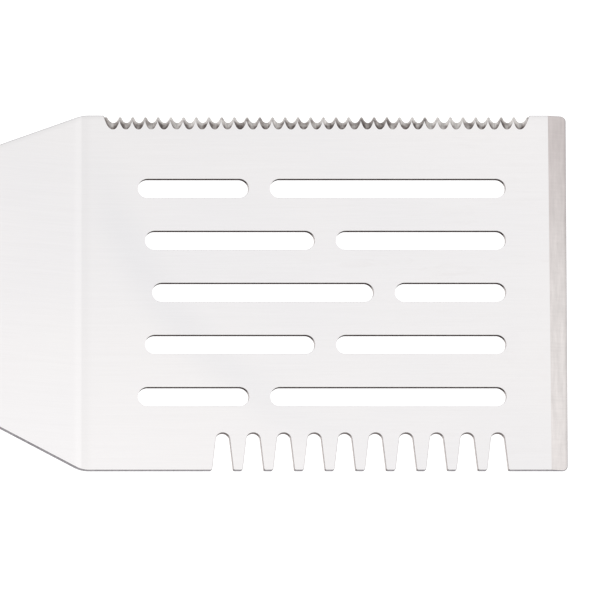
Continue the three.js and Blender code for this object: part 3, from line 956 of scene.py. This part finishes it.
def brushed_steel():
    """Satin sheet brushed along the tool, with a painted reflection that darkens it towards the serrated side
    at the rear, a band of painted shade curving across the heel, painted light and dark reflection bands at
    the crease, water marks between two rows of slots, and a darker rim."""
    s = Shader("brushed_steel")
    fine = s.noise(s.coordinates((55, 3600, 1), "flat"), detail=4)
    broad = s.noise(s.coordinates((14, 620, 1), "flat"), detail=3)
    lines = s.mix(0.35, fine, broad)
    tone = s.ramp(lines, (0.3, (0.945, 0.926, 0.928)), (0.7, (0.99, 0.971, 0.973)))
    # Painted reflection: darker towards the serrated side and brighter towards the comb, in full at the neck
    # and fading out towards the front edge
    painted_reflection_across = s.ramp(s.along("Y", HEAD_WIDTH / 2, -HEAD_WIDTH / 2), (0.0, 0.905), (0.5, 0.945), (1.0, 1.0))
    cross_tone = s.mix(s.along("X", *PAINTED_REFLECTION_FADE_X), (0.945, 0.945, 0.945), painted_reflection_across)
    haze = s.noise(s.coordinates((9, 13, 1), "flat"), detail=2, distortion=0.4)
    drift = s.ramp(haze, (0.3, (0.968, 0.972, 0.98)), (0.6, (1.0, 0.998, 0.995)))
    # Painted shade: a soft darker band along an arc across the heel, fading out towards the front and towards
    # the serrated side
    faded = s.from_arc(PAINTED_SHADE_CENTRE, PAINTED_SHADE_RADIUS, PAINTED_SHADE_REACH)
    for axis, run in (("X", PAINTED_SHADE_FADE_X), ("Y", PAINTED_SHADE_FADE_Y)):
        faded = s.math("MULTIPLY", faded, s.spread(s.along(axis, *run), 1, 0))
    painted_heel_shade = s.ramp(faded, (0.0, (1.0, 1.0, 1.0)), (1.0, (0.964, 0.969, 0.976)))
    stains = s.noise(s.coordinates((60, 220, 1), "flat"), detail=3, distortion=1.5)
    across = s.ramp(s.along("Y", *WATER_MARK_Y), (0.0, 0.3), (0.4, 1.0), (0.8, 0.3))
    wetted = s.multiply(across, s.ramp(s.along("X", *WATER_MARK_X), (0.0, 0.3), (1.0, 1.0)))
    dried = s.ramp(stains, (0.32, (0.968, 0.962, 0.958)), (0.46, (1.0, 1.0, 1.0)))
    wear = s.mix(wetted, (1.0, 1.0, 1.0), dried)
    # Painted reflection: a lighter band just behind the crease and a darker band just ahead of it, where the
    # bent steel would reflect the surround differently
    painted_crease_bands = s.ramp(
        s.along("X", -PAINTED_CREASE_REACH, PAINTED_CREASE_REACH),
        (0.10, 0.972),
        (0.25, 0.974),
        (0.36, 1.0),
        (0.46, 0.99),
        (0.51, 0.925),
        (0.62, 0.925),
        (0.78, 0.952),
    )
    rim = s.ramp(s.from_far_edge(), (0.0, 0.88), (0.35, 0.955), (1.0, 1.0))
    shade = tone
    for layer in (cross_tone, painted_crease_bands, drift, painted_heel_shade, wear, rim):
        shade = s.multiply(shade, layer)
    return s.set(
        Base_Color=shade,
        Metallic=1.0,
        Roughness=s.spread(lines, 0.26, 0.40),
        Normal=s.bump(fine, 0.01, 0.3),
    )


def buffed_edge_with_painted_shade():
    """The outer edge of the sheet, cut and then buffed to a dull grey, and darkened further with painted
    shade.
    """
    s = Shader("buffed_edge_with_painted_shade")
    grain = s.noise(s.coordinates((1500, 1500, 300)), detail=3)
    return s.set(
        # Dark base colour: partly the dull buffed cut, partly painted shade
        Base_Color=s.ramp(grain, (0.3, (0.20, 0.185, 0.20)), (0.7, (0.33, 0.312, 0.33))),
        Metallic=1.0,
        Roughness=0.5,
        Normal=s.bump(grain, 0.03, 0.5),
    )


def punched_wall():
    """The walls left by the punch: torn and dark in the slots, the dark partly from the cut and partly
    painted shade, cleaner in the comb, and painted pale as a painted reflection where they face along the
    tool."""
    s = Shader("punched_wall")
    grain = s.noise(s.coordinates((1500, 1500, 300)), detail=3)
    normal = s.node("ShaderNodeSeparateXYZ")
    s.link(s.node("ShaderNodeTexCoord").outputs["Normal"], normal.inputs["Vector"])
    # Painted reflection on the walls that face along the tool; painted shade, together with the torn cut, in
    # the dark of the other slot walls
    facing_along = s.ramp(s.math("ABSOLUTE", normal.outputs["X"]), (0.75, 0.0), (0.97, 1.0))
    torn_with_painted_shade = s.ramp(grain, (0.3, (0.055, 0.043, 0.043)), (0.7, (0.10, 0.082, 0.080)))
    cleaner = s.ramp(grain, (0.3, (0.17, 0.148, 0.145)), (0.7, (0.24, 0.212, 0.207)))
    painted_flank_reflection = s.ramp(grain, (0.3, (0.62, 0.57, 0.555)), (0.7, (0.74, 0.69, 0.675)))
    roof = NOTCH_DEPTH - HEAD_WIDTH / 2
    comb = s.along("Y", roof + 2 * COMB_MARGIN, roof)
    across = s.mix(s.ramp(comb, (0.0, 0.0), (1.0, 1.0)), torn_with_painted_shade, cleaner)
    return s.set(
        Base_Color=s.mix(facing_along, across, painted_flank_reflection),
        Roughness=0.5,
        Specular_IOR_Level=0.0,
        Normal=s.bump(grain, 0.03, 0.5),
    )


def ground_gullet():
    """Coarse wheel marks running down each gullet, darkened with painted shade towards the upper face."""
    s = Shader("ground_gullet")
    marks = s.noise(s.coordinates((2600, 260, 260)), detail=3)
    patches = s.ramp(s.noise(s.coordinates((260, 260, 120)), detail=2), (0.36, 0.0), (0.64, 1.0))
    painted_gullet_shade = s.node("ShaderNodeAttribute", attribute_name="painted_gullet_shade").outputs["Fac"]
    # Painted shade: the gullet darkens towards the upper face and in two streaks, with random patches
    painted_shade_colour = s.ramp(
        s.math("ADD", painted_gullet_shade, s.spread(patches, -BLOTCH, BLOTCH)),
        (0.0, (0.66, 0.63, 0.61)),
        (0.45, (0.43, 0.395, 0.38)),
        (0.75, (0.25, 0.22, 0.207)),
        (1.0, (0.12, 0.10, 0.094)),
    )
    streak = s.ramp(marks, (0.35, 0.7), (0.65, 1.0))
    return s.set(
        Base_Color=s.multiply(painted_shade_colour, streak),
        Metallic=1.0,
        Roughness=0.38,
        Normal=s.bump(marks, 0.04, 0.6),
    )


def ground_front():
    """The front edge: mottled grey, with faint wheel marks, less polished towards the serrated side."""
    s = Shader("ground_front")
    marks = s.noise(s.coordinates((150, 1500, 1), "flat"), detail=3)
    mottle = s.noise(s.coordinates((700, 90, 1), "flat"), detail=3)
    tone = s.ramp(s.mix(0.75, marks, mottle), (0.34, 0.84), (0.66, 1.0))
    cross_tone = s.ramp(
        s.along("Y", -HEAD_WIDTH / 2, HEAD_WIDTH / 2),
        (0.1, (0.86, 0.815, 0.80)),
        (0.5, (0.80, 0.755, 0.74)),
        (0.9, (0.665, 0.61, 0.60)),
    )
    rim = s.ramp(s.along("X", HEAD_LENGTH - GRIND_RUN, HEAD_LENGTH), (0.84, 1.0), (0.93, 0.87))
    return s.set(
        Base_Color=s.multiply(s.multiply(tone, cross_tone), rim),
        Metallic=1.0,
        Roughness=0.42,
        Normal=s.bump(marks, 0.02, 0.4),
    )


def walnut():
    """Oiled walnut: growth bands drawn out along the handle, darker streaks, and fine open pores."""
    s = Shader("walnut")
    bands = s.noise(s.coordinates((7, 95, 95)), detail=4, distortion=0.6)
    streaks = s.noise(s.coordinates((22, 900, 900)), detail=4)
    pores = s.noise(s.coordinates((260, 4200, 4200)), detail=2)
    colour = s.ramp(
        s.mix(0.35, bands, streaks),
        (0.30, (0.040, 0.018, 0.009)),
        (0.47, (0.105, 0.048, 0.024)),
        (0.58, (0.175, 0.086, 0.043)),
        (0.72, (0.235, 0.125, 0.066)),
    )
    open_pores = s.ramp(pores, (0.33, 0.35), (0.42, 1.0))
    return s.set(
        Base_Color=s.mix(0.8, colour, open_pores, "MULTIPLY"),
        Roughness=s.spread(streaks, 0.36, 0.56),
        Specular_IOR_Level=0.45,
        Normal=s.bump(open_pores, 0.04, 0.5, under=s.bump(streaks, 0.03, 0.3)),
    )


def satin_steel(name, tone, stretch):
    """Polished steel with a faint haze and fine marks stretched along one axis."""
    s = Shader(name)
    marks = s.noise(s.coordinates(stretch), detail=3)
    haze = s.noise(s.coordinates((180, 180, 180)), detail=3)
    uneven = s.mix(0.5, marks, haze)
    low, high = (tuple(channel * share for channel in tone) for share in (0.86, 1.0))
    return s.set(
        Base_Color=s.ramp(uneven, (0.3, low), (0.7, high)),
        Metallic=1.0,
        Roughness=s.spread(uneven, 0.2, 0.38),
        Normal=s.bump(marks, 0.01, 0.4),
    )


# ---- Stage ----


FLOOR_HALF = 30000


def make_floor():
    """A plain white floor that shows no shadow."""
    half = FLOOR_HALF * MM
    bm = bmesh.new()
    corners = [(-half, -half, 0), (half, -half, 0), (half, half, 0), (-half, half, 0)]
    bm.faces.new([bm.verts.new(corner) for corner in corners])
    mesh = bpy.data.meshes.new("floor")
    bm.to_mesh(mesh)
    bm.free()
    floor = bpy.data.objects.new("floor", mesh)
    s = Shader("floor")
    s.set(Base_Color=(0.3, 0.3, 0.3, 1), Roughness=0.9, Emission_Color=(1, 1, 1, 1), Emission_Strength=0.92)
    mesh.materials.append(s.material)
    bpy.context.scene.collection.objects.link(floor)


def make_light():
    """A white dome: even overhead, with a darker belt low down that gives the steel its shape."""
    world = bpy.data.worlds.new("studio")
    world.use_nodes = True
    tree = world.node_tree
    direction = tree.nodes.new("ShaderNodeTexCoord")
    height = tree.nodes.new("ShaderNodeSeparateXYZ")
    belt = tree.nodes.new("ShaderNodeValToRGB")
    stops = ((0.0, 0.97), (0.05, 0.97), (0.12, 0.5), (0.30, 0.5), (0.56, 0.97), (0.75, 1.0))
    while len(belt.color_ramp.elements) < len(stops):
        belt.color_ramp.elements.new(0.5)
    for element, (position, grey) in zip(belt.color_ramp.elements, stops):
        element.position = position
        element.color = (grey, grey, grey, 1)
    tree.links.new(direction.outputs["Generated"], height.inputs["Vector"])
    tree.links.new(height.outputs["Z"], belt.inputs["Fac"])
    tree.links.new(belt.outputs["Color"], tree.nodes["Background"].inputs["Color"])
    tree.nodes["Background"].inputs["Strength"].default_value = 1.03
    bpy.context.scene.world = world


VIEW_TILT = radians(15.3)  # the camera leans towards the comb
VIEW_YAW = radians(0.5)  # and a little towards the handle
VIEW_DISTANCE = 6000
VIEW_WIDTH = 188.4
VIEW_CENTRE = (68.6, -2.5, SHEET)


def make_camera():
    """Looks down on the head, with the tool's length level."""
    back = Vector((-sin(VIEW_YAW), -sin(VIEW_TILT), cos(VIEW_TILT))).normalized()
    right = (Vector((1, 0, 0)) - back * back.x).normalized()
    up = back.cross(right)
    turn = TOOL.to_3x3() @ Matrix((right, up, back)).transposed()
    camera = bpy.data.objects.new("camera", bpy.data.cameras.new("camera"))
    camera.data.sensor_width = 36
    camera.data.lens = camera.data.sensor_width * VIEW_DISTANCE / VIEW_WIDTH
    camera.data.clip_start = 0.1
    camera.data.clip_end = 100
    place = TOOL @ (Vector(VIEW_CENTRE) * MM) + turn @ Vector((0, 0, VIEW_DISTANCE * MM))
    camera.matrix_world = Matrix.Translation(place) @ turn.to_4x4()
    bpy.context.scene.collection.objects.link(camera)
    bpy.context.scene.camera = camera


make_floor()
make_light()
make_camera()
bpy.context.scene.view_settings.view_transform = "Standard"

make_blade([brushed_steel(), punched_wall(), buffed_edge_with_painted_shade(), ground_gullet(), ground_front()])
wood = walnut()
make_scale(1, "upper_scale_wood", "scale_top", wood)
make_scale(-1, "lower_scale_wood", "scale_bottom", wood)
make_rivets(satin_steel("rivet_steel", (0.74, 0.72, 0.70), (3000, 400, 400)))
cap_steel = satin_steel("cap_steel", (0.60, 0.59, 0.58), (300, 2500, 2500))
make_butt_cap(cap_steel)
make_cap_pin(cap_steel)
make_ring(satin_steel("ring_steel", (0.52, 0.51, 0.50), (2500, 2500, 2500)))
